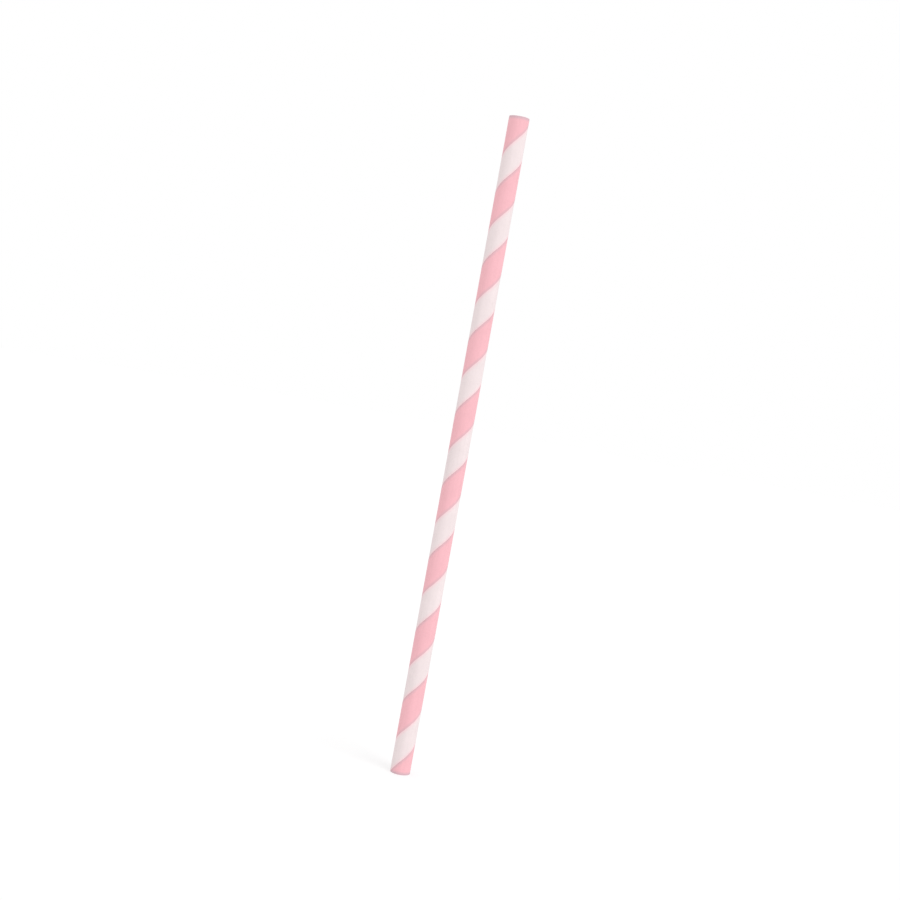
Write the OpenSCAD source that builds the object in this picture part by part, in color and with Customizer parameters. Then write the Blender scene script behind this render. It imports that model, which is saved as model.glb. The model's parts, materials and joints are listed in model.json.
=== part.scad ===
/* [Straw] */
// Length from one cut end to the other
straw_l = 195; // [150:1:250]
// Outside diameter of the paper tube
outer_d = 6; // [5:0.5:12]
// Thickness of the glued paper wall
wall = 0.4; // [0.3:0.02:0.6]

/* [Outer strip] */
// Width of the outer paper strip, edge to edge
strip_w = 14.22; // [10:0.02:15]
// Thickness of the outer paper strip
strip_t = 0.14; // [0.1:0.01:0.2]
// Width of the pink print along one edge of the strip
pink_w = 7.55; // [2:0.1:9]
// Length of pink below the head, down the middle of the front
head_pink_l = 7.1; // [0:0.1:20]

/* [Seam] */
// Width of the groove where the strip's edges meet
seam_w = 0.2; // [0.1:0.05:0.4]
// Depth of that groove
seam_depth = 0.1; // [0.05:0.01:0.14]

/* [Hidden] */

paper_white = "snow";
print_pink = "lightpink";

outer_r = outer_d / 2;
bore_r = outer_r - wall;

// The strip is wound edge to edge, so each turn round the girth climbs by the lead.
girth = PI * outer_d;
lead = strip_w * girth / sqrt(girth * girth - strip_w * strip_w);
pink_sweep = 360 * pink_w / strip_w;

// Cutters run past the ends and past the outside by this much.
past = 1;
cut_l = straw_l + 2 * past;
round_fn = 96;
steps_per_turn = 24;
cut_slices = ceil(steps_per_turn * cut_l / lead);

// Where the pink field's trailing edge starts, so that it crosses the front below the head.
front_angle = -90;
trailing_edge = front_angle - 360 * (straw_l - head_pink_l + past) / lead;

// A round paper wall standing on its lower end.
module paper_wall(inner_r) {
    difference() {
        cylinder(r = outer_r, h = straw_l, $fn = round_fn);
        translate([0, 0, -past])
            cylinder(r = inner_r, h = cut_l, $fn = round_fn);
    }
}

// A flat outline carried up the straw on the strip's right-handed helix.
module wound() {
    translate([0, 0, -past])
        linear_extrude(height = cut_l, twist = -360 * cut_l / lead, slices = cut_slices, segments = 4)
            children();
}

// The printed field, only as deep as the outer strip, because the bore is white.
module pink_band() {
    half = pink_sweep / 2;
    reach = (outer_r + past) / cos(half / 2);
    intersection() {
        paper_wall(outer_r - strip_t);
        wound()
            rotate(trailing_edge - half)
                polygon([
                    [0, 0],
                    reach * [cos(half), -sin(half)],
                    [reach, 0],
                    reach * [cos(half), sin(half)]
                ]);
    }
}

// The V-shaped groove where the strip's two edges meet, along the pink field's leading edge.
module strip_seam() {
    bottom_r = outer_r - seam_depth;
    top_r = outer_r + past;
    half_w = seam_w / 2 * (top_r - bottom_r) / seam_depth;
    wound()
        rotate(trailing_edge - pink_sweep)
            polygon([[bottom_r, 0], [top_r, -half_w], [top_r, half_w]]);
}

// One spirally wound tube, open at both ends and standing upright.
module straw() {
    difference() {
        union() {
            color(paper_white)
                difference() {
                    paper_wall(bore_r);
                    pink_band();
                }
            color(print_pink)
                pink_band();
        }
        color(paper_white)
            strip_seam();
    }
}

straw();
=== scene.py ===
# %% [markdown]
# # A paper drinking straw in pink and white
#
# A paper straw is made from long strips of paper. A machine glues the strips and winds them, one on
# another, round a polished rod, while a belt presses the tube as it turns. A knife then cuts the
# endless tube square into straws. Only the outermost strip is printed. It is pink along one edge and
# bare along the other, so the finished straw shows a pink and a white band that climb side by side.
#
# The lesson starts from a solid model of the straw, which already has its true length, diameters and
# helix. It makes the surface that the eye sees: the groove where the strip's edges meet, the layers
# that show at the cut ends, and the finish of the paper. Everything is in metres, and the straw stands
# on its lower end at the origin.

# %% Load the frame
import json
import math

import bpy
import numpy as np
from mathutils import Matrix, Vector


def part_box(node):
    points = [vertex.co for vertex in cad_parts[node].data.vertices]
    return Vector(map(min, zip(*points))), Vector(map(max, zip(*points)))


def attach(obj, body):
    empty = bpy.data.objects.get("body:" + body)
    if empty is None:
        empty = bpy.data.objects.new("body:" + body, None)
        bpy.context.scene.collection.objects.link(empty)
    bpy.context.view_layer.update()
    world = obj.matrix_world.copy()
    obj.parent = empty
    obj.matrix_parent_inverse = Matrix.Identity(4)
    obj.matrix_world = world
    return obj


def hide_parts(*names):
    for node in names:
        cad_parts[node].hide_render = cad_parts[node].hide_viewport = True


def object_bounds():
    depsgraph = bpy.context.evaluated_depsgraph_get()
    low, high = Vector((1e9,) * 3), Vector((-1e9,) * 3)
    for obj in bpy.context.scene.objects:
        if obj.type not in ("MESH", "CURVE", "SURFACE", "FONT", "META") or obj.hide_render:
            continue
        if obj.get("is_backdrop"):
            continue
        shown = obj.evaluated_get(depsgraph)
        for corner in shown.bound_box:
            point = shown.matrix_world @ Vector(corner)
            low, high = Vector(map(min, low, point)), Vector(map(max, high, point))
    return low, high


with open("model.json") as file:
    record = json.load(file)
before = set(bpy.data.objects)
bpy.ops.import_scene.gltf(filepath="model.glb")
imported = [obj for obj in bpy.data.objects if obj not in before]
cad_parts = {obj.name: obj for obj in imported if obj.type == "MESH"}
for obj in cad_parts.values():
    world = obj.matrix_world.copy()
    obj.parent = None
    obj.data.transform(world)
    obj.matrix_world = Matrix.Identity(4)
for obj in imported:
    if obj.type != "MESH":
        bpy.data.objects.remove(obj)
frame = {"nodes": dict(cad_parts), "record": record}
cad_low, cad_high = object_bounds()
print("The solid model reaches from", list(cad_low), "to", list(cad_high))

# %% [markdown]
# ## Sizes
#
# The length and the two diameters come from the solid model, so the new surface can't drift away from
# it. The strip's own sizes are the maker's: how wide it is, how wide its pink print is, and how much
# pink is left above the first white band on the front.

# %% The straw's sizes
MM = 0.001
mounts = {mount["name"]: mount for mount in frame["record"]["mounts"]}
node_low, node_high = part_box("straw")
straw_l = node_high.z - node_low.z
outer_r = (node_high.x - node_low.x) / 2
bore_r = mounts["bore"]["dims"]["r_mm"] * MM
print(f"Length {straw_l / MM:.1f} mm, outside {2 * outer_r / MM:.2f} mm, bore {2 * bore_r / MM:.2f} mm")

# %% The strip's sizes
strip_w = 14.22 * MM
strip_t = 0.14 * MM
inner_strips = 2
pink_w = 7.55 * MM
head_pink_l = 7.1 * MM
seam_w = 0.2 * MM
seam_depth = 0.1 * MM
print(f"The print covers {pink_w / strip_w:.0%} of a strip that is {strip_w / MM:.2f} mm wide")

# %% [markdown]
# ## The helix
#
# Unroll the tube and the strip lies as a slanted band. Its width, laid edge to edge, has to fill the
# girth exactly, and that alone fixes how steeply it climbs. One turn of the strip crosses the whole
# girth, so a place round the straw and a share of the strip's width are the same thing, apart from
# the seam's own turn at that height.

# %% The strip's climb
girth = 2 * math.pi * outer_r
climb = math.asin(strip_w / girth)
lead = strip_w / math.cos(climb)
pink_share = pink_w / strip_w
front = -math.pi / 2


def seam_angle(z):
    """Angle of the seam at height z.

    It is the front's angle, less the pink's share of a turn, less a turn for each lead that z lies below
    the end of the front's topmost pink.
    """
    below_head_pink = straw_l - head_pink_l - z
    return front - 2 * math.pi * (below_head_pink / lead + pink_share)


print(f"The strip climbs at {math.degrees(climb):.1f} degrees, one turn in {lead / MM:.2f} mm")

# %% [markdown]
# The solid model has the same groove, so its deepest points show whether the two agree. Each vertex
# that lies deeper than half of the groove, outside the bore, ought to sit on the seam's angle.

# %% Compare with the solid model's groove
solid = frame["nodes"]["straw"].data
points = np.empty(len(solid.vertices) * 3)
solid.vertices.foreach_get("co", points)
points = points.reshape(-1, 3)
radius = np.hypot(points[:, 0], points[:, 1])
groove = points[(radius < outer_r - seam_depth / 2) & (radius > bore_r + seam_depth)]
off = np.arctan2(groove[:, 1], groove[:, 0]) - seam_angle(groove[:, 2])
off = (off + math.pi) % (2 * math.pi) - math.pi
print(f"{len(groove)} groove points lie within {np.abs(off).max() * outer_r / MM:.3f} mm of the seam")

# %% [markdown]
# ## Colours as they are written
#
# Blender's usual view transform bends and dulls bright colours, as film does. Standard shows each
# colour as its material has it, which suits a pale object on white.

# %% How the picture is shown
bpy.context.scene.view_settings.view_transform = "Standard"
print("View transform:", bpy.context.scene.view_settings.view_transform)

# %% [markdown]
# ## The camera
#
# The camera stands a little over 0.4 m away, looks slightly down, and is turned about its own line of
# sight, so that the upright straw leans in the picture. From that far, the straw looks almost as wide at
# the foot as at the head. A Track To constraint could aim the camera, but would keep the picture level.
# So its three directions are worked out and written into its matrix.

# %% Where the camera stands and how it is turned
CAMERA_PLACE = Vector((0.0, -415.1 * MM, 125.8 * MM))
CAMERA_DOWN = math.radians(3.96)
CAMERA_ASIDE = math.radians(-0.348)
CAMERA_ROLL = math.radians(10.322)

ahead = Vector((
    math.sin(CAMERA_ASIDE) * math.cos(CAMERA_DOWN),
    math.cos(CAMERA_ASIDE) * math.cos(CAMERA_DOWN),
    -math.sin(CAMERA_DOWN),
))
level = ahead.cross(Vector((0, 0, 1))).normalized()
over = level.cross(ahead)
right = level * math.cos(CAMERA_ROLL) + over * math.sin(CAMERA_ROLL)
up = over * math.cos(CAMERA_ROLL) - level * math.sin(CAMERA_ROLL)
print("The camera looks towards", [round(value, 3) for value in ahead])

# %% The camera
CAMERA_LENS = 56.89
CAMERA_SENSOR = 36
CAMERA_NEAREST = 10 * MM

camera_data = bpy.data.cameras.new("camera")
camera_data.sensor_width = CAMERA_SENSOR
camera_data.lens = CAMERA_LENS
camera_data.clip_start = CAMERA_NEAREST
camera = bpy.data.objects.new("camera", camera_data)
camera.matrix_world = Matrix.Translation(CAMERA_PLACE) @ Matrix((right, up, -ahead)).transposed().to_4x4()
bpy.context.scene.collection.objects.link(camera)
bpy.context.scene.camera = camera
print(f"The camera sees {math.degrees(camera_data.angle):.1f} degrees")

# %% [markdown]
# ## One skin for the whole straw
#
# A tube could be a cylinder with a Solidify modifier. But its faces would run straight up, across the
# strip's edges, and would turn a fine groove into a jagged line. So the straw is a grid worked out with
# numpy, whose columns run along the strip.
#
# The outside, the cut end at the head, the bore and the cut end at the foot join into one closed skin,
# like a very long ring. Each column keeps its share of the strip's width, counted from the seam. The
# rows go up the outside, in over the head's cut, down the bore, and out again over the foot's cut.
#
# The columns crowd together at the seam, where the groove needs them, and again half a strip away,
# where the innermost strip has its own seam in the bore. A sine does that without a table.

# %% Columns across the strip
COLUMNS = 120
CROWDING = 0.8


def column_shares(count, crowding):
    """Shares of the strip's width, evenly spaced and then drawn towards 0, 1/2 and 1 by a sine."""
    even = np.arange(count + 1) / count
    return even - crowding * np.sin(4 * math.pi * even) / (4 * math.pi)


share = column_shares(COLUMNS, CROWDING)
apart = np.diff(share) * strip_w / MM
print(f"Columns lie {apart.min():.3f} to {apart.max():.3f} mm apart")

# %% [markdown]
# A knife leaves the rim a little round, and the layers of paper show as rings in the cut, parted by
# thin lines of glue. A Bevel modifier could round the rim, but couldn't show the layers. So a cut end is
# a short path from the outside to the bore: a rounded edge, a flat with a shallow nick at each glue
# line, and another rounded edge.

# %% The path over a cut end
EDGE_ROUND = 0.035 * MM
EDGE_STEPS = 4
NICK_HALF_W = 0.014 * MM
NICK_DEPTH = 0.02 * MM

wall = outer_r - bore_r
inner_t = (wall - strip_t) / inner_strips
glue_lines = outer_r - strip_t - inner_t * np.arange(inner_strips)


def cut_end_path():
    """Radius, and depth below the cut plane, along the path: a quarter circle, the flat, a quarter circle.

    On the flat the depth is 0, apart from a V at each glue line.
    """
    turn = np.linspace(0, math.pi / 2, EDGE_STEPS + 1)
    corner_in = EDGE_ROUND * (1 - np.cos(turn))
    corner_down = EDGE_ROUND * (1 - np.sin(turn))
    nicks = glue_lines[:, None] + NICK_HALF_W * np.array([1, 0, -1])
    nick_depths = np.tile([0, NICK_DEPTH, 0], inner_strips)
    path_r = np.concatenate([outer_r - corner_in, nicks.ravel(), (bore_r + corner_in)[::-1]])
    path_depth = np.concatenate([corner_down, nick_depths, corner_down[::-1]])
    return path_r, path_depth


end_r, end_depth = cut_end_path()
print(f"A cut end has {len(end_r)} rings, and glue lines at {(glue_lines / MM).round(3)} mm")

# %% [markdown]
# The walls need rows too. The helix turns each row of the outside against the one below it, so the rows
# stay close together. The bore is never seen closely, and takes fewer. Both counts are multiples of the
# number of lengths that the flat layout below cuts them into.

# %% Rows up and down the walls
LENGTHS = 4
OUTER_ROWS = 480
BORE_ROWS = 200

outer_z = np.linspace(EDGE_ROUND, straw_l - EDGE_ROUND, OUTER_ROWS + 1)[:-1]
bore_z = np.linspace(straw_l - EDGE_ROUND, EDGE_ROUND, BORE_ROWS + 1)[:-1]
row_turn = 360 * (outer_z[1] - outer_z[0]) / lead
print(f"Rows of the outside turn by {row_turn:.1f} degrees each")

# %% Rows round the skin
OUTSIDE, HEAD_CUT, BORE, FOOT_CUT = range(4)

parts = [
    (OUTSIDE, np.full(OUTER_ROWS, outer_r), outer_z),
    (HEAD_CUT, end_r[:-1], straw_l - end_depth[:-1]),
    (BORE, np.full(BORE_ROWS, bore_r), bore_z),
    (FOOT_CUT, end_r[:0:-1], end_depth[:0:-1]),
]
row_part = np.concatenate([np.full(len(part_r), part) for part, part_r, part_z in parts])
row_r = np.concatenate([part_r for part, part_r, part_z in parts])
row_z = np.concatenate([part_z for part, part_r, part_z in parts])
ROWS = len(row_r)
print(f"{ROWS} rows by {COLUMNS} columns make {2 * ROWS * COLUMNS} triangles")

# %% [markdown]
# ## Relief
#
# Three things keep a real straw from being a perfect tube. The strip's edges leave a groove and curl
# up beside it by a hair. The belt leaves the wall slightly uneven. The knife leaves the cut a little
# wavy. A Displace modifier with noise could roughen the tube, but wouldn't know where the strip's edges
# are. Each relief here is a smooth function of the place on the strip and the height instead, and only
# takes paper away, so the straw stays inside its solid.

# %% Relief at the seams
EDGE_LIFT = 0.012 * MM
EDGE_CURL = 0.5 * MM
GROOVE_POWER = 1.2
INNER_SEAM_SHARE = 0.5
INNER_SEAM_DEPTH = 0.05 * MM
INNER_SEAM_W = 0.16 * MM


def seam_relief(share):
    """Depth across the strip: a V at the seam with a soft shoulder, in a wall that sinks away from it."""
    across = np.minimum(share, 1 - share) * strip_w
    v_groove = np.clip(1 - 2 * across / seam_w, 0, None)
    return seam_depth * v_groove**GROOVE_POWER + EDGE_LIFT * (1 - np.exp(-across / EDGE_CURL))


def inner_seam_relief(share):
    """Depth in the bore: a V half a strip away from the outer seam."""
    across = np.abs(share - INNER_SEAM_SHARE) * strip_w
    return INNER_SEAM_DEPTH * np.clip(1 - 2 * across / INNER_SEAM_W, 0, None)


print(f"The seam is {seam_relief(share).max() / MM:.3f} mm deep")
print(f"The bore's seam is {inner_seam_relief(share).max() / MM:.3f} mm deep")

# %% Unevenness of the wall
UNEVEN = 0.010 * MM
WALL_WAVES = [(2, 53 * MM, 0), (3, -31 * MM, 1), (5, 11 * MM, 2)]


def uneven_wall(angle, z):
    """Depth from 0 to UNEVEN: slow waves round and along the tube, which never fall in step on it.

    A wave is the sine of: its times x the angle, a turn for each of its lengths in z, and its shift.
    """
    waves = 0
    for times, length, shift in WALL_WAVES:
        waves = waves + np.sin(times * angle + 2 * math.pi * z / length + shift)
    return UNEVEN * (len(WALL_WAVES) - waves) / (2 * len(WALL_WAVES))


print(f"The wall is uneven by {UNEVEN / MM:.3f} mm at most")

# %% Waves of the cut
CUT_WAVE = 0.02 * MM
CUT_WAVE_REACH = 1.5 * MM
RIM_WAVES = [(2, 0.7), (7, 0)]


def cut_wave(angle, z):
    """Height added at the foot's cut and taken off at the head's, which fades out along the wall.

    It goes from 0 to CUT_WAVE in waves. A wave is the sine of: its times x the angle, and its shift.
    """
    waves = 0
    for times, shift in RIM_WAVES:
        waves = waves + np.sin(times * angle + shift)
    at_the_cut = CUT_WAVE * (len(RIM_WAVES) + waves) / (2 * len(RIM_WAVES))
    foot = at_the_cut * np.exp(-z / CUT_WAVE_REACH)
    head = at_the_cut * np.exp(-(straw_l - z) / CUT_WAVE_REACH)
    return foot - head


print(f"The cuts are wavy by {CUT_WAVE / MM:.3f} mm at most")

# %% [markdown]
# ## The skin as a function of two parameters
#
# A place on the skin is a row and a share of the strip's width. The row gives a radius and a height.
# The share, turned by the seam's angle at that height, gives the place round the straw. The relief
# then moves the radius inwards on the outside and outwards in the bore, and moves the height at the cuts.

# %% The skin's points
def skin(row_r, row_z, share):
    """Points (rows, columns, 3) from each row's radius and height and each column's share of the strip.

    The angle is the seam's angle plus a turn times the share. The outer relief fades out through the
    printed strip, and the bore's relief through the innermost one.
    """
    r = row_r[:, None]
    z = row_z[:, None]
    angle = seam_angle(z) + 2 * math.pi * share
    in_printed_strip = np.clip(1 - (outer_r - r) / strip_t, 0, 1)
    in_bore_strip = np.clip(1 - (r - bore_r) / inner_t, 0, 1)
    sunk = in_printed_strip * (seam_relief(share) + uneven_wall(angle, z))
    raised = in_bore_strip * inner_seam_relief(share)
    r = r - sunk + raised
    return np.stack([r * np.cos(angle), r * np.sin(angle), z + cut_wave(angle, z)], axis=-1)


skin_points = skin(row_r, row_z, share[:-1])
skin_size = np.ptp(skin_points.reshape(-1, 3), axis=0) / MM
print("The skin measures", skin_size.round(3), "mm")

# %% [markdown]
# ## From a grid to a closed mesh
#
# Two tubes could be joined by bridging their ends. One grid that closes on itself leaves nothing to
# join. Each face joins a column to the next and a row to the next, and the last of each joins the
# first, so no edge is left open. The columns turn against the clock, seen from above, and the rows climb
# the outside. So the faces point outwards on the outside, and into the air of the bore inside.

# %% The mesh of the skin
def closed_grid(name, points):
    """A mesh object from points (rows, columns, 3) that closes on itself both ways."""
    rows, columns = points.shape[:2]
    number = np.arange(rows * columns).reshape(rows, columns)
    beside = np.roll(number, -1, axis=1)
    above = np.roll(number, -1, axis=0)
    across = np.roll(above, -1, axis=1)
    faces = np.stack([number, beside, across, above], axis=-1).reshape(-1, 4)
    mesh = bpy.data.meshes.new(name)
    mesh.from_pydata(points.reshape(-1, 3), [], faces)
    mesh.shade_smooth()
    made = bpy.data.objects.new(name, mesh)
    bpy.context.scene.collection.objects.link(made)
    return made


straw = closed_grid("wound_paper_straw", skin_points)
print(f"The straw has {len(straw.data.polygons)} faces")

# %% [markdown]
# ## The strip's own map
#
# Print and paper grain follow the strip, and not the tube. So the straw gets a map on which the strip
# lies flat and straight: across it is the share of the width, and along it is the distance wound since
# the foot, in widths too. A pattern drawn on this map runs round the straw with no break, other than at
# the seam, where the real one has its break as well. Blender's Unwrap could open the tube along a marked
# seam, but would turn and scale it as it likes. Worked out here, one unit is one width of the strip.

# %% Corner values of the faces
def corner_shares(share, rows):
    """The share at each face's four corners: left, right, right, left, for every row."""
    left, right = share[:-1], share[1:]
    return np.tile(np.stack([left, right, right, left], axis=-1), (rows, 1, 1))


def corner_rows(low, high, columns):
    """A row's value at each face's corners: low, low, high, high, for every column."""
    each = np.stack([low, low, high, high], axis=-1)
    return np.repeat(each[:, None, :], columns, axis=1)


across_strip = corner_shares(share, ROWS)
corner_z = corner_rows(row_z, np.roll(row_z, -1), COLUMNS)
along_strip = (corner_z / math.sin(climb) + across_strip * girth * math.cos(climb)) / strip_w
print(f"The strip is {along_strip.max() * strip_w / MM:.0f} mm long")

# %% The strip's map
def give_map(mesh, name, across, along):
    """Writes a map from the corner values (rows, columns, 4) of its two directions."""
    layer = mesh.uv_layers.new(name=name)
    layer.uv.foreach_set("vector", np.stack([across, along], axis=-1).astype(np.float32).ravel())


give_map(straw.data, "Strip", across_strip, along_strip)
print("The straw has the map", straw.data.uv_layers[0].name)

# %% [markdown]
# ## A flat layout for the exported picture
#
# When the straw is exported, its finish is painted into a square picture. Smart UV Project would lay the
# tube out in a few thin pieces as long as the straw, and waste most of the square. So this layout cuts
# the outside into four lengths and stands them side by side, with the strip's edges upright, which
# keeps the edge of the print sharp. The bore lies below in four shorter strips, and the two cuts lie
# along the bottom.

# %% Where a row lies in the layout
GAP = 0.004


def in_lengths(rows, band):
    """Left edge, width, low and high places of each row, for a wall that is cut into LENGTHS."""
    place = np.arange(rows) * LENGTHS / rows
    length = np.floor(place)
    low, high = band
    step = (high - low) * LENGTHS / rows
    row_low = low + (place - length) * (high - low)
    return length / LENGTHS + GAP, np.full(rows, 1 / LENGTHS - 2 * GAP), row_low, row_low + step


def in_one(rows, band):
    """The same four values for a cut end, which lies along the whole width."""
    edges = np.linspace(*band, rows + 1)
    return np.full(rows, GAP), np.full(rows, 1 - 2 * GAP), edges[:-1], edges[1:]


print(f"Lengths of the layout lie {2 * GAP} of its width apart")

# %% The layout
OUTSIDE_BAND = (0.30, 1 - GAP)
BORE_BAND = (0.11, 0.29)
HEAD_BAND = (0.06, 0.10)
FOOT_BAND = (GAP, 0.05)
PICTURE_DOTS = 1024

end_rows = len(end_r) - 1
layout = [
    in_lengths(OUTER_ROWS, OUTSIDE_BAND),
    in_one(end_rows, HEAD_BAND),
    in_lengths(BORE_ROWS, BORE_BAND),
    in_one(end_rows, FOOT_BAND),
]
left_edge, piece_w, row_low, row_high = (np.concatenate(values) for values in zip(*layout))
layout_across = left_edge[:, None, None] + piece_w[:, None, None] * across_strip
layout_along = corner_rows(row_low, row_high, COLUMNS)
give_map(straw.data, "OFBake", layout_across, layout_along)
straw.data.uv_layers.active = straw.data.uv_layers["Strip"]
straw.data.uv_layers["Strip"].active_render = True
dots = PICTURE_DOTS * piece_w[0] * MM / strip_w
print(f"A millimetre across the strip takes {dots:.0f} dots of a picture that is {PICTURE_DOTS} wide")

# %% [markdown]
# ## Shader helpers
#
# A finish is a web of small nodes. Written out node by node it would be a tangle, so a few helpers make
# it read like a formula: one makes a node, one plugs a value or another node's result into a socket,
# and the rest are the sums, places and noise that a finish needs. Each use makes nodes of its own, and
# where some come out alike, Cycles works them out once.

# %% Nodes and sockets
def make(tree, kind, **settings):
    """A new node of this kind, with its settings."""
    made = tree.nodes.new(kind)
    for name, value in settings.items():
        setattr(made, name, value)
    return made


def plug(tree, socket, value):
    """Links value into the socket if it is another node's output, and else writes it there."""
    if isinstance(value, bpy.types.NodeSocket):
        tree.links.new(value, socket)
    else:
        socket.default_value = value


# %% Sums and steps
def maths(tree, operation, *values):
    """One sum of one to three values."""
    made = make(tree, "ShaderNodeMath", operation=operation)
    for socket, value in zip(made.inputs, values):
        plug(tree, socket, value)
    return made.outputs["Value"]


def soft_step(tree, value, start, end):
    """Goes smoothly from 0 to 1 while value goes from start to end."""
    made = make(tree, "ShaderNodeMapRange", interpolation_type="SMOOTHSTEP")
    plug(tree, made.inputs["Value"], value)
    plug(tree, made.inputs["From Min"], start)
    plug(tree, made.inputs["From Max"], end)
    return made.outputs["Result"]


# %% Places and noise
def stretched(tree, place, x, y, z):
    """A place with each of its directions multiplied."""
    made = make(tree, "ShaderNodeVectorMath", operation="MULTIPLY")
    plug(tree, made.inputs[0], place)
    plug(tree, made.inputs[1], (x, y, z))
    return made.outputs["Vector"]


def turned(tree, place, angle):
    """A place turned about the third direction."""
    made = make(tree, "ShaderNodeVectorRotate", rotation_type="Z_AXIS")
    plug(tree, made.inputs["Vector"], place)
    plug(tree, made.inputs["Angle"], angle)
    return made.outputs["Vector"]


def noise(tree, place, detail):
    """Noise around 1/2, with features about one unit of place wide, and finer ones with more detail."""
    made = make(tree, "ShaderNodeTexNoise", noise_dimensions="3D")
    plug(tree, made.inputs["Vector"], place)
    plug(tree, made.inputs["Scale"], 1.0)
    plug(tree, made.inputs["Detail"], detail)
    return made.outputs["Fac"]


def around_zero(tree, value):
    """Noise with its middle moved from 1/2 to 0."""
    return maths(tree, "SUBTRACT", value, 0.5)


# %% [markdown]
# ## Paper
#
# Straw paper is uncoated. Seen closely it is a felt of short fibres, most of which lie nearly along the
# strip, on a fine pitted tooth. Seen from further away it is slightly cloudy, and the winding belt has
# rubbed faint streaks along the tube. A scanned picture of paper could show that, but it would repeat
# along the straw and blur from close by. Noise does neither.
#
# Two sets of drawn-out noise, turned a little to each side, cross each other like fibres. They, the
# tooth and the pits are noise on the strip's map, because they belong to the paper. The clouds and the
# streaks are noise on the straw's own coordinates.

# %% Places that a pattern can follow
def strip_place(tree):
    """The strip's own map as a place."""
    return make(tree, "ShaderNodeUVMap", uv_map="Strip").outputs["UV"]


def straw_place(tree):
    """The straw's own coordinates, in metres."""
    return make(tree, "ShaderNodeTexCoord").outputs["Object"]


# %% Fibres, tooth and pits
FIBRE_W = 0.10 * MM
FIBRE_L = 0.9 * MM
FIBRE_TURN = math.radians(14)
TOOTH_W = 0.16 * MM
PIT_W = 0.13 * MM
PIT_START = 0.50
PIT_FULL = 0.72


def fibres(tree):
    """Short fibres near the strip's direction: half the sum of two sets that cross."""
    total = 0.0
    for angle in (FIBRE_TURN, -FIBRE_TURN):
        lying = turned(tree, strip_place(tree), angle)
        one_set = noise(tree, stretched(tree, lying, strip_w / FIBRE_W, strip_w / FIBRE_L, 1), detail=3.0)
        total = maths(tree, "MULTIPLY_ADD", one_set, 0.5, total)
    return total


def tooth(tree):
    """The paper's fine hills, as wide as they are long."""
    place = stretched(tree, strip_place(tree), strip_w / TOOTH_W, strip_w / TOOTH_W, 1)
    return noise(tree, place, detail=3.0)


def pits(tree):
    """1 in the small pits that the ink misses, and 0 elsewhere."""
    place = stretched(tree, strip_place(tree), strip_w / PIT_W, strip_w / PIT_W, 1)
    return soft_step(tree, noise(tree, place, detail=1.0), PIT_START, PIT_FULL)


print(f"Fibres are {FIBRE_W / MM:.2f} mm wide and {FIBRE_L / MM:.1f} mm long")

# %% Clouds and streaks
CLOUD_W = 3.2 * MM
STREAK_W = 0.8 * MM
STREAK_L = 22 * MM


def clouds(tree):
    """Thicker and thinner paper."""
    place = stretched(tree, straw_place(tree), 1 / CLOUD_W, 1 / CLOUD_W, 1 / CLOUD_W)
    return noise(tree, place, detail=2.0)


def streaks(tree):
    """Rub marks of the winding belt."""
    place = stretched(tree, straw_place(tree), 1 / STREAK_W, 1 / STREAK_W, 1 / STREAK_L)
    return noise(tree, place, detail=1.0)


print(f"Streaks are {STREAK_W / MM:.1f} mm wide and {STREAK_L / MM:.0f} mm long")

# %% A colour shaded by the paper
def blend_colours(tree, amount, first, second, way="MIX"):
    """first where amount is 0. Where it is 1, second, or first with second laid on it in another way."""
    made = make(tree, "ShaderNodeMix", data_type="RGBA", blend_type=way)
    first_colour, second_colour = (socket for socket in made.inputs if socket.type == "RGBA")
    plug(tree, made.inputs["Factor"], amount)
    plug(tree, first_colour, first)
    plug(tree, second_colour, second)
    return next(socket for socket in made.outputs if socket.type == "RGBA")


def shaded(tree, colour, amounts):
    """The colour times 1 + the sum of (noise - 1/2) x amount."""
    total = 1.0
    for value, amount in amounts:
        total = maths(tree, "MULTIPLY_ADD", around_zero(tree, value), amount, total)
    as_colour = make(tree, "ShaderNodeCombineColor")
    for socket in as_colour.inputs:
        plug(tree, socket, total)
    return blend_colours(tree, 1.0, colour, as_colour.outputs["Color"], "MULTIPLY")


# %% [markdown]
# ## The print
#
# The pink lies from the seam to a little past the middle of the strip. The plate presses the ink
# outwards, so it is duller in a narrow line along both edges of the print, and a haze of it reaches a
# little way onto the white. The free edge wanders with the fibres. The groove of the seam is bare paper
# with shade painted into its colour. At the rims the ink is darkened by painted shade, dullest of all.
#
# A painted picture could hold the print. Here each field is a smooth step on the share of the strip's
# width instead, so its size is a number in millimetres, and its edge stays crisp at any distance.
#
# The colours are written as amounts of light, as Blender's sockets have them. An amount of 0.5 shows
# as 188 of 255 in a picture. The bare paper's white is slightly pink: partly its own tint, and partly a
# painted pink bounce light.

# %% Colours of the print
PINK = (0.950, 0.503, 0.552, 1)
# WHITE_WITH_PAINTED_BOUNCE is the paper's white, with a painted pink bounce light in its tint.
WHITE_WITH_PAINTED_BOUNCE = (0.900, 0.784, 0.789, 1)
INK_LINE = (0.825, 0.484, 0.532, 1)
INK_HAZE = (0.958, 0.722, 0.745, 1)
# RIM_PAINTED_SHADE is painted shade along both cut rims, laid on the ink.
RIM_PAINTED_SHADE = (0.715, 0.474, 0.528, 1)
# GROOVE_PAINTED_SHADE is painted shade at the bottom of the seam's groove, on bare paper.
GROOVE_PAINTED_SHADE = (0.660, 0.430, 0.460, 1)
print("The pink is", PINK[:3], "and the white is", WHITE_WITH_PAINTED_BOUNCE[:3])

# %% The share of the strip
INK_EDGE_WANDER = 0.14 * MM
WANDER_L = 0.8 * MM


def part_of_place(tree, place, direction):
    """One of a place's three numbers: X, Y or Z."""
    split = make(tree, "ShaderNodeSeparateXYZ")
    plug(tree, split.inputs[0], place)
    return split.outputs[direction]


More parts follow.
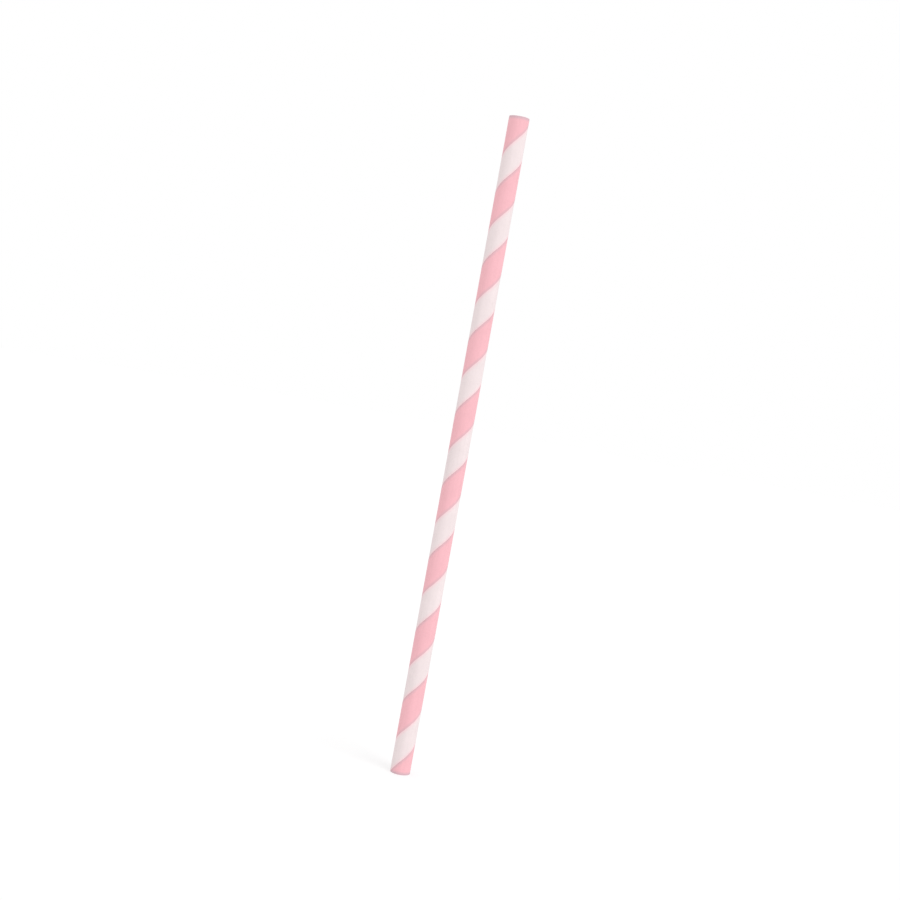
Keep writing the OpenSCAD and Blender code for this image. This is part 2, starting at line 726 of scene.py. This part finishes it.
def share_of_strip(tree):
    """The share of the strip's width: 0 at the seam, on the pink side, and 1 at the next turn's seam."""
    return part_of_place(tree, strip_place(tree), "X")


def wandering_share(tree):
    """The share, moved to and fro along the strip as the print's free edge is."""
    drift = noise(tree, stretched(tree, strip_place(tree), 1, strip_w / WANDER_L, 1), detail=3.0)
    wander = INK_EDGE_WANDER / strip_w
    return maths(tree, "MULTIPLY_ADD", around_zero(tree, drift), wander, share_of_strip(tree))


print(f"The free edge of the print wanders by {INK_EDGE_WANDER / MM:.2f} mm at most")

# %% The pink field and the groove's painted shade
INK_EDGE_SOFT = 0.07 * MM
GROOVE_SHADE_W = 0.12 * MM


def pink_field(tree):
    """1 on the pink and 0 on the white."""
    soft = INK_EDGE_SOFT / strip_w
    return soft_step(tree, wandering_share(tree), pink_share + soft, pink_share - soft)


def painted_groove_shade(tree):
    """1 at the bottom of the groove, where shade is painted, and 0 beside it."""
    share = share_of_strip(tree)
    from_seam = maths(tree, "MINIMUM", share, maths(tree, "SUBTRACT", 1.0, share))
    return soft_step(tree, from_seam, GROOVE_SHADE_W / 2 / strip_w, 0.0)


print(f"The pink turns into white over {2 * INK_EDGE_SOFT / MM:.2f} mm")

# %% Ink lines, haze and the rims' painted shade
INK_LINE_W = 0.9 * MM
INK_LINE_FULL_W = 0.315 * MM
INK_HAZE_W = 1.1 * MM
RIM_W = 1.2 * MM
RIM_FULL_W = 0.15 * MM


def ink_line(tree):
    """1 on the pink beside both of its edges, and 0 further in than INK_LINE_W."""
    line = INK_LINE_W / strip_w
    full = INK_LINE_FULL_W / strip_w
    at_free_edge = soft_step(tree, wandering_share(tree), pink_share - line, pink_share - full)
    at_seam = soft_step(tree, share_of_strip(tree), line, full)
    return maths(tree, "MAXIMUM", at_free_edge, at_seam)


def ink_haze(tree):
    """1 on the white where it meets the pink, and 0 further away than INK_HAZE_W."""
    haze = INK_HAZE_W / strip_w
    at_free_edge = soft_step(tree, wandering_share(tree), pink_share + haze, pink_share)
    at_seam = soft_step(tree, share_of_strip(tree), 1 - haze, 1.0)
    return maths(tree, "MAXIMUM", at_free_edge, at_seam)


def painted_rim_shade(tree):
    """1 at either cut end, where shade is painted on the ink, and 0 further than RIM_W from both."""
    z = part_of_place(tree, straw_place(tree), "Z")
    to_end = maths(tree, "MINIMUM", z, maths(tree, "SUBTRACT", straw_l, z))
    return soft_step(tree, to_end, RIM_W, RIM_FULL_W)


print(f"The ink line is {INK_LINE_W / MM:.1f} mm wide and the haze {INK_HAZE_W / MM:.1f} mm")

# %% [markdown]
# ## The printed face
#
# A material of one flat colour would look like plastic. What makes this one paper is that the fibres,
# the tooth, the clouds and the streaks each change the colour by a few per cent, and that the same
# fibres and tooth raise the surface. Ink closes the paper's pores, so the pink is slightly smoother
# than the white, and a pit in it lets some of the paper through.

# %% Amounts of the printed face
PIT_LIGHTENS = (1.010, 1.190, 1.170, 1)
PIT_SHOWS = 0.7
FIBRE_SHADE = 0.22
TOOTH_SHADE = 0.10
CLOUD_SHADE = 0.09
STREAK_SHADE = 0.07
WHITE_ROUGH = 0.74
PINK_ROUGH = 0.64
STREAK_ROUGH = 0.12
PAPER_SPECULAR = 0.3
TOOTH_HEIGHT = 0.014 * MM
FIBRE_HEIGHT_SHARE = 0.6
print(f"The tooth is {TOOTH_HEIGHT / MM:.3f} mm high")

# %% Colour of the printed face
def print_colour(tree):
    """White under the haze, pink under its lines, the rims' painted shade and pits, and the groove's
    painted shade over both.
    """
    ink = blend_colours(tree, ink_line(tree), PINK, INK_LINE)
    # Painted shade darkens the ink at both rims.
    ink = blend_colours(tree, painted_rim_shade(tree), ink, RIM_PAINTED_SHADE)
    pitted = maths(tree, "MULTIPLY", pits(tree), PIT_SHOWS)
    ink = blend_colours(tree, pitted, ink, PIT_LIGHTENS, "MULTIPLY")
    bare = blend_colours(tree, ink_haze(tree), WHITE_WITH_PAINTED_BOUNCE, INK_HAZE)
    colour = blend_colours(tree, pink_field(tree), bare, ink)
    # Painted shade at the bottom of the groove.
    return blend_colours(tree, painted_groove_shade(tree), colour, GROOVE_PAINTED_SHADE)


# %% The printed face
def new_finish(name):
    """A material, its node tree and its Principled shader."""
    material = bpy.data.materials.new(name)
    material.use_nodes = True
    return material, material.node_tree, material.node_tree.nodes["Principled BSDF"]


def printed_face():
    """The outside of the straw."""
    material, tree, shader = new_finish("printed_face")
    felt = fibres(tree)
    hills = tooth(tree)
    rubbed = streaks(tree)
    shades = [
        (felt, FIBRE_SHADE),
        (hills, TOOTH_SHADE),
        (clouds(tree), CLOUD_SHADE),
        (rubbed, STREAK_SHADE),
    ]
    plug(tree, shader.inputs["Base Color"], shaded(tree, print_colour(tree), shades))
    rough = maths(tree, "MULTIPLY_ADD", pink_field(tree), PINK_ROUGH - WHITE_ROUGH, WHITE_ROUGH)
    rough = maths(tree, "MULTIPLY_ADD", around_zero(tree, rubbed), STREAK_ROUGH, rough)
    plug(tree, shader.inputs["Roughness"], rough)
    plug(tree, shader.inputs["Specular IOR Level"], PAPER_SPECULAR)
    bump = make(tree, "ShaderNodeBump")
    plug(tree, bump.inputs["Strength"], 1.0)
    plug(tree, bump.inputs["Distance"], TOOTH_HEIGHT)
    plug(tree, bump.inputs["Height"], maths(tree, "MULTIPLY_ADD", felt, FIBRE_HEIGHT_SHARE, hills))
    plug(tree, shader.inputs["Normal"], bump.outputs["Normal"])
    return material


printed_paper = printed_face()
print(f"The printed face is a web of {len(printed_paper.node_tree.nodes)} nodes")

# %% [markdown]
# ## Bare paper
#
# The bore is bare white paper, wound with its own strip. Its seam is half a strip away from the outer
# one, and shows as a fine line. The cut shows the layers end on: whiter paper, greyer glue lines, and
# torn fibres that make it rougher than any face. Both could share the printed face's material with more
# masks, but two small materials of their own are easier to read.

# %% The bore
BORE_WHITE = (0.86, 0.80, 0.79, 1)
BORE_SEAM = (0.66, 0.58, 0.57, 1)
BORE_FIBRE_SHADE = 0.25
BORE_CLOUD_SHADE = 0.08
BARE_ROUGH = 0.85


def bore_face():
    """The inside of the straw."""
    material, tree, shader = new_finish("bore_face")
    from_seam = maths(tree, "ABSOLUTE", maths(tree, "SUBTRACT", share_of_strip(tree), INNER_SEAM_SHARE))
    line = soft_step(tree, from_seam, INNER_SEAM_W / strip_w, 0.0)
    colour = blend_colours(tree, line, BORE_WHITE, BORE_SEAM)
    shades = [(fibres(tree), BORE_FIBRE_SHADE), (clouds(tree), BORE_CLOUD_SHADE)]
    plug(tree, shader.inputs["Base Color"], shaded(tree, colour, shades))
    plug(tree, shader.inputs["Roughness"], BARE_ROUGH)
    plug(tree, shader.inputs["Specular IOR Level"], PAPER_SPECULAR)
    return material


bore_paper = bore_face()
print(f"The bore's finish is a web of {len(bore_paper.node_tree.nodes)} nodes")

# %% The cuts
CUT_WHITE = (0.88, 0.80, 0.79, 1)
CUT_GLUE = (0.70, 0.60, 0.59, 1)
CUT_SHADE = 0.16
GLUE_HALF_W = 1.5 * NICK_HALF_W
INK_STARTS_R = outer_r - 1.2 * EDGE_ROUND
INK_FULL_R = outer_r - 0.5 * EDGE_ROUND


def cut_face():
    """The paper seen end on. The glue lines and the inked edge go by the distance from the axis."""
    material, tree, shader = new_finish("cut_face")
    place = straw_place(tree)
    flat = make(tree, "ShaderNodeVectorMath", operation="LENGTH")
    plug(tree, flat.inputs[0], stretched(tree, place, 1, 1, 0))
    radius = flat.outputs["Value"]
    glue = 0.0
    for line_r in glue_lines:
        away = maths(tree, "ABSOLUTE", maths(tree, "SUBTRACT", radius, float(line_r)))
        glue = maths(tree, "MAXIMUM", soft_step(tree, away, GLUE_HALF_W, 0.0), glue)
    colour = blend_colours(tree, glue, CUT_WHITE, CUT_GLUE)
    inked = maths(tree, "MULTIPLY", soft_step(tree, radius, INK_STARTS_R, INK_FULL_R), pink_field(tree))
    colour = blend_colours(tree, inked, colour, PINK)
    fuzz = noise(tree, stretched(tree, place, 1 / FIBRE_W, 1 / FIBRE_W, 1 / FIBRE_W), detail=3.0)
    plug(tree, shader.inputs["Base Color"], shaded(tree, colour, [(fuzz, CUT_SHADE)]))
    plug(tree, shader.inputs["Roughness"], BARE_ROUGH)
    plug(tree, shader.inputs["Specular IOR Level"], PAPER_SPECULAR)
    return material


cut_paper = cut_face()
print(f"The cuts' finish is a web of {len(cut_paper.node_tree.nodes)} nodes")

# %% Dress the straw
finishes = {OUTSIDE: printed_paper, HEAD_CUT: cut_paper, BORE: bore_paper, FOOT_CUT: cut_paper}
worn = list(dict.fromkeys(finishes.values()))
for material in worn:
    straw.data.materials.append(material)
slot_of_part = np.array([worn.index(finishes[part]) for part in range(len(finishes))])
straw.data.polygons.foreach_set("material_index", np.repeat(slot_of_part[row_part], COLUMNS))

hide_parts("straw")
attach(straw, "root")
print("The straw wears", [material.name for material in worn])

# %% [markdown]
# ## The floor
#
# The straw stands on a pale floor that fades into a white room. A floor that is only painted white comes
# out grey wherever the lamps are weak, and shows its edge. So what the camera sees of the floor is
# mostly its own white, and a part of it is left to the lamps, so the straw's shadow still falls on it.
# For the light that bounces onto the straw, it is plain pale paint.

# %% The white that the camera sees
def seen_directly(tree):
    """1 for rays from the camera, from a gloss and from glass, and 0 for the light on the straw."""
    path = make(tree, "ShaderNodeLightPath")
    seen = maths(tree, "ADD", path.outputs["Is Camera Ray"], path.outputs["Is Glossy Ray"])
    seen = maths(tree, "ADD", seen, path.outputs["Is Transmission Ray"])
    return maths(tree, "MINIMUM", seen, 1.0)


# %% The floor's finish
FLOOR_PAINT = (0.82, 0.82, 0.82, 1)
SHADOW_PART = (0.50, 0.50, 0.50, 1)
FLOOR_GLOW = 0.51


def floor_finish():
    """Pale paint, which to the camera is white where it is lit and keeps the shadow."""
    material, tree, shader = new_finish("floor_white")
    tree.nodes.remove(shader)
    paint = make(tree, "ShaderNodeBsdfDiffuse")
    plug(tree, paint.inputs["Color"], FLOOR_PAINT)
    lit = make(tree, "ShaderNodeBsdfDiffuse")
    plug(tree, lit.inputs["Color"], SHADOW_PART)
    glow = make(tree, "ShaderNodeEmission")
    plug(tree, glow.inputs["Strength"], FLOOR_GLOW)
    shown = make(tree, "ShaderNodeAddShader")
    plug(tree, shown.inputs[0], lit.outputs[0])
    plug(tree, shown.inputs[1], glow.outputs[0])
    both = make(tree, "ShaderNodeMixShader")
    plug(tree, both.inputs[0], seen_directly(tree))
    plug(tree, both.inputs[1], paint.outputs[0])
    plug(tree, both.inputs[2], shown.outputs[0])
    plug(tree, tree.nodes["Material Output"].inputs["Surface"], both.outputs[0])
    return material


floor_white = floor_finish()
print(f"The floor's finish is a web of {len(floor_white.node_tree.nodes)} nodes")

# %% The floor
FLOOR_R = 2.0
FLOOR_SIDES = 96


def disc(name, radius, sides):
    """A flat round face: radius x (cos, sin) of the angle."""
    angle = np.linspace(0, 2 * math.pi, sides, endpoint=False)
    rim = np.stack([radius * np.cos(angle), radius * np.sin(angle), np.zeros(sides)], axis=-1)
    mesh = bpy.data.meshes.new(name)
    mesh.from_pydata(rim, [], [list(range(sides))])
    made = bpy.data.objects.new(name, mesh)
    bpy.context.scene.collection.objects.link(made)
    return made


floor = disc("floor", FLOOR_R, FLOOR_SIDES)
floor.data.materials.append(floor_white)
floor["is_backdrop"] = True
print(f"The floor is {2 * FLOOR_R:.0f} m across")

# %% [markdown]
# ## Light
#
# The light is a product studio's: a bright even room, and one large soft lamp at the right, in front
# and above. The room gives most of it, so the side away from the lamp is only a little darker. The
# lamp could be an area light, but that would light the head more than the foot of such a long object.
# A sun with a wide disc lights both alike. Together they make white paper as bright as its colour
# says, and no brighter.

# %% The room's light
ROOM_LIGHT = 0.87
BACKDROP_LIGHT = 1.0
ROOM_WHITE = (1, 1, 1, 1)

world = bpy.data.worlds.new("white_room")
world.use_nodes = True
bpy.context.scene.world = world
tree = world.node_tree
room = tree.nodes["Background"]
plug(tree, room.inputs["Color"], ROOM_WHITE)
plug(tree, room.inputs["Strength"], ROOM_LIGHT)
backdrop = make(tree, "ShaderNodeBackground")
plug(tree, backdrop.inputs["Color"], ROOM_WHITE)
plug(tree, backdrop.inputs["Strength"], BACKDROP_LIGHT)
either = make(tree, "ShaderNodeMixShader")
plug(tree, either.inputs[0], seen_directly(tree))
plug(tree, either.inputs[1], room.outputs[0])
plug(tree, either.inputs[2], backdrop.outputs[0])
plug(tree, tree.nodes["World Output"].inputs["Surface"], either.outputs[0])
print(f"The room lights the straw with {ROOM_LIGHT} of its white")

# %% The lamp
LAMP_HEIGHT = math.radians(40)
LAMP_ASIDE = math.radians(48)
LAMP_SPREAD = math.radians(35)
LAMP_STRENGTH = 0.78

lamp_data = bpy.data.lights.new("soft_lamp", "SUN")
lamp_data.angle = LAMP_SPREAD
lamp_data.energy = LAMP_STRENGTH
lamp = bpy.data.objects.new("soft_lamp", lamp_data)
from_lamp = Vector((
    -math.sin(LAMP_ASIDE) * math.cos(LAMP_HEIGHT),
    math.cos(LAMP_ASIDE) * math.cos(LAMP_HEIGHT),
    -math.sin(LAMP_HEIGHT),
))
lamp.rotation_mode = "QUATERNION"
lamp.rotation_quaternion = from_lamp.to_track_quat("-Z", "Y")
bpy.context.scene.collection.objects.link(lamp)
print("The lamp shines towards", [round(value, 2) for value in from_lamp])

# %% [markdown]
# ## Check and finish
#
# The dressed straw has to fill the solid model's box, less the little paper that the relief takes
# away.

# %% Sizes and finish
low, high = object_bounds()
smaller = (cad_high - cad_low) - (high - low)
print("The dressed straw is smaller than the solid by", [round(side / MM, 3) for side in smaller], "mm")
